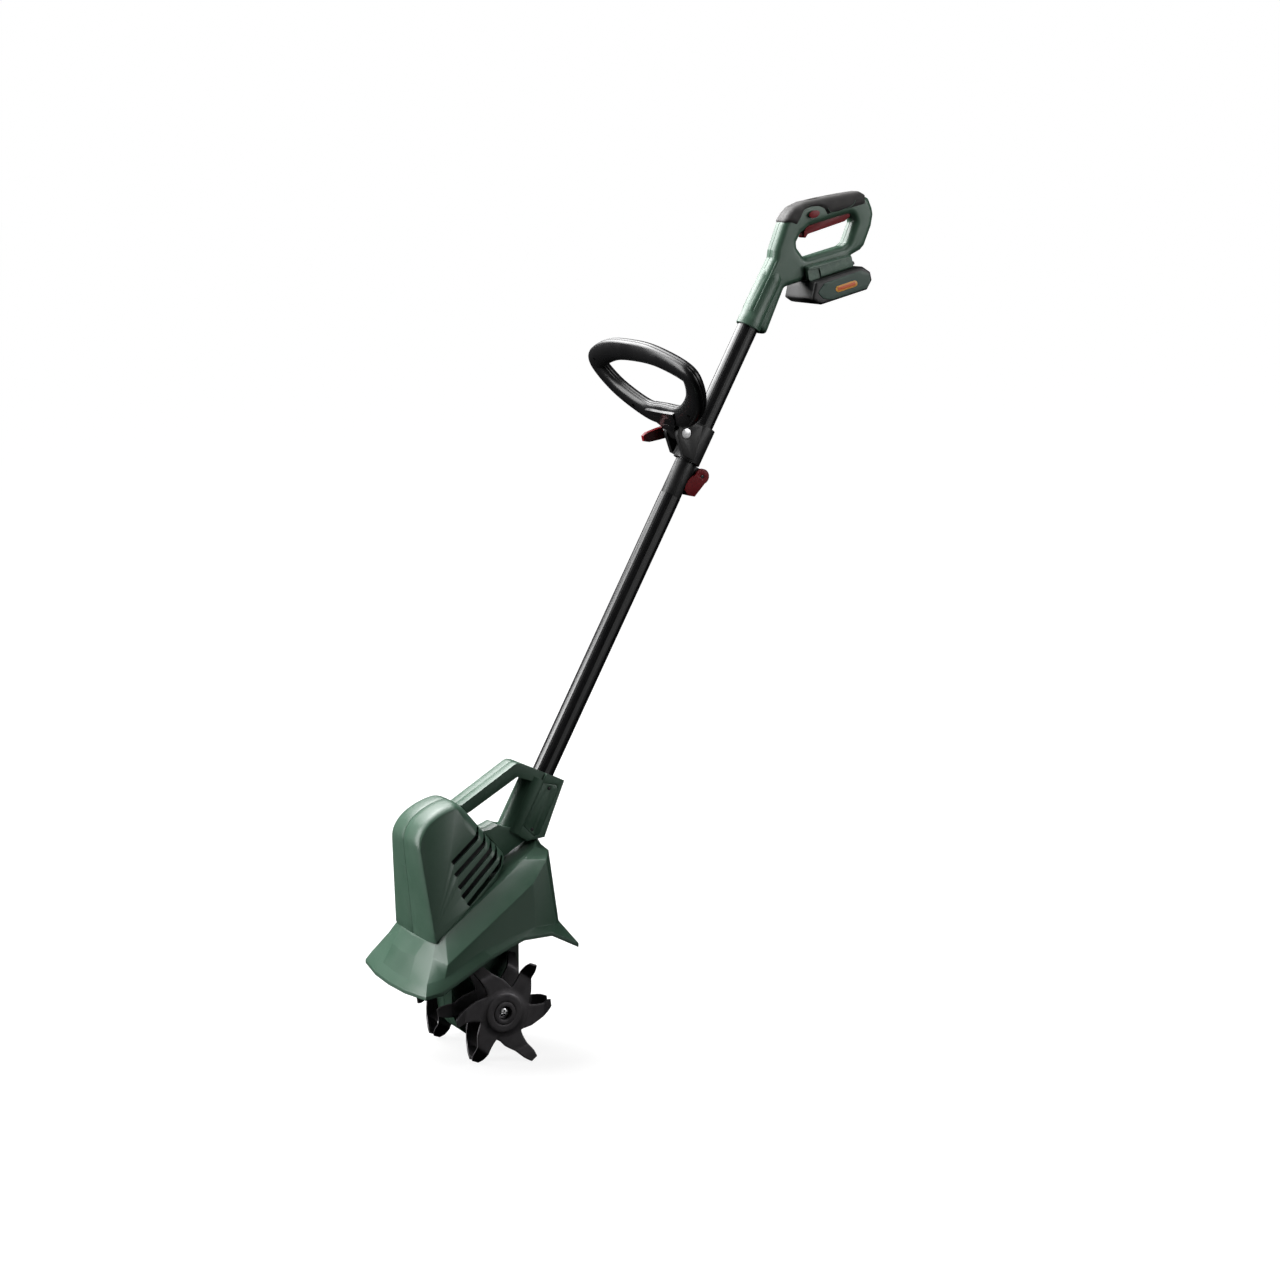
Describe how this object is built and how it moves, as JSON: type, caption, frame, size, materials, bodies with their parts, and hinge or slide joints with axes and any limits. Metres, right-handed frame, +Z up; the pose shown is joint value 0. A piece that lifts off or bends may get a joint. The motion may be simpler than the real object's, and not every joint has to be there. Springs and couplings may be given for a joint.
{
  "type": "mini cultivator",
  "caption": "Battery mini cultivator: tine head under a guard, two-piece sliding pole, loop handle, D handle with trigger and slide-on battery.",
  "frame": {"origin": "on the ground under the middle of the whole machine, with the tine tips at height 0", "axes": "+Z up; the tine head is towards -Y and the user stands at +Y; +X is the machine's left side, along the tine axle"},
  "size_m": [0.304, 0.7608, 1.173],
  "materials": {
    "green_plastic": "fine satin moulding",
    "black_plastic": "satin moulding",
    "soft_grip": "soft matte overmould",
    "red_plastic": "dark red, half gloss",
    "painted_tube": "black powder coat, smooth",
    "tine_steel": "dark grey coated steel",
    "bright_steel": "plain bright steel",
    "bronze": "sintered bronze",
    "battery_cells": "wrapped cell block"
  },
  "bodies": {
    "head": {"gear_case_left": "green_plastic", "gear_case_right": "green_plastic", "axle_bearing_left": "bronze", "axle_bearing_right": "bronze", "hood": "green_plastic", "motor_housing_left": "green_plastic", "motor_housing_right": "green_plastic", "motor_can": "bright_steel", "motor_bearing_lower": "bright_steel", "motor_bearing_upper": "bright_steel", "carry_frame_left": "green_plastic", "carry_frame_right": "green_plastic", "socket_cover": "green_plastic", "cover_screw_upper": "bright_steel", "cover_screw_lower": "bright_steel", "lower_tube": "painted_tube", "lock_collar": "black_plastic", "lock_lever_pin": "bright_steel"},
    "tines": {"tine_axle": "bright_steel", "worm_wheel": "bronze", "tine_hub_left": "tine_steel", "tine_hub_right": "tine_steel", "outer_tine_left": "tine_steel", "outer_tine_right": "tine_steel", "inner_tine_left": "tine_steel", "inner_tine_right": "tine_steel", "axle_screw_left": "bright_steel", "axle_screw_right": "bright_steel"},
    "motor_drive": {"motor_rotor": "bright_steel", "worm": "bright_steel", "cooling_fan": "black_plastic"},
    "cam_lever": {"lock_lever": "red_plastic"},
    "upper_pole": {"upper_tube": "painted_tube", "inner_tube": "bright_steel", "bracket_left": "black_plastic", "bracket_right": "black_plastic", "hinge_bolt": "bright_steel", "loop_lever_pin": "bright_steel", "handle_left": "green_plastic", "handle_right": "green_plastic", "grip_cover": "soft_grip", "switch_module": "black_plastic", "battery_terminals": "black_plastic", "trigger_pin": "bright_steel", "trigger_spring": "bright_steel"},
    "loop_grip": {"loop_handle_upper": "black_plastic", "loop_handle_lower": "black_plastic"},
    "quick_release": {"loop_lever": "red_plastic"},
    "trigger_body": {"trigger": "red_plastic"},
    "lock_off": {"lock_button": "red_plastic"},
    "battery": {"battery_case": "black_plastic", "cell_pack": "battery_cells"},
    "release_button": {"battery_button": "black_plastic"}
  },
  "joints": [
    {"name": "tine_spin", "type": "hinge", "parent": "head", "child": "tines", "pos_m": [0, -0.2454, 0.07025], "axis": [1, 0, 0], "continuous": true},
    {"name": "motor_spin", "type": "hinge", "parent": "head", "child": "motor_drive", "pos_m": [0, -0.2822, 0.07025], "axis": [0, 0, 1], "continuous": true},
    {"name": "pole_slide", "type": "slide", "parent": "head", "child": "upper_pole", "axis": [0, 0.4726, 0.8813], "range_m": [0, 0.1]},
    {"name": "cam_lever_swing", "type": "hinge", "parent": "head", "child": "cam_lever", "pos_m": [0, 0.10167, 0.78043], "axis": [1, 0, 0], "range_deg": [0, 100]},
    {"name": "loop_tilt", "type": "hinge", "parent": "upper_pole", "child": "loop_grip", "pos_m": [0, 0.0726, 0.843], "axis": [1, 0, 0], "range_deg": [-35, 22]},
    {"name": "quick_release_swing", "type": "hinge", "parent": "upper_pole", "child": "quick_release", "pos_m": [-0.0295, 0.0726, 0.843], "axis": [0, 0.222, -0.975], "range_deg": [0, 110]},
    {"name": "trigger_pull", "type": "hinge", "parent": "upper_pole", "child": "trigger_body", "pos_m": [0, 0.3406, 1.147], "axis": [-1, 0, 0], "range_deg": [0, 5.5], "stiffness_Nm_per_rad": 0.2, "springref_deg": -11.46},
    {"name": "lock_off_press", "type": "slide", "parent": "upper_pole", "child": "lock_off", "axis": [1, 0, 0], "range_m": [-0.0018, 0.0018], "stiffness_N_per_m": 300},
    {"name": "battery_slide", "type": "slide", "parent": "upper_pole", "child": "battery", "axis": [0, 0.969, 0.247], "range_m": [0, 0.09]},
    {"name": "release_press", "type": "slide", "parent": "battery", "child": "release_button", "axis": [0, 0.247, -0.969], "range_m": [0, 0.003], "stiffness_N_per_m": 400, "springref_m": -0.002}
  ],
  "couplings": [
    {"joint": "motor_spin", "follows": "tine_spin", "ratio": 24}
  ]
}
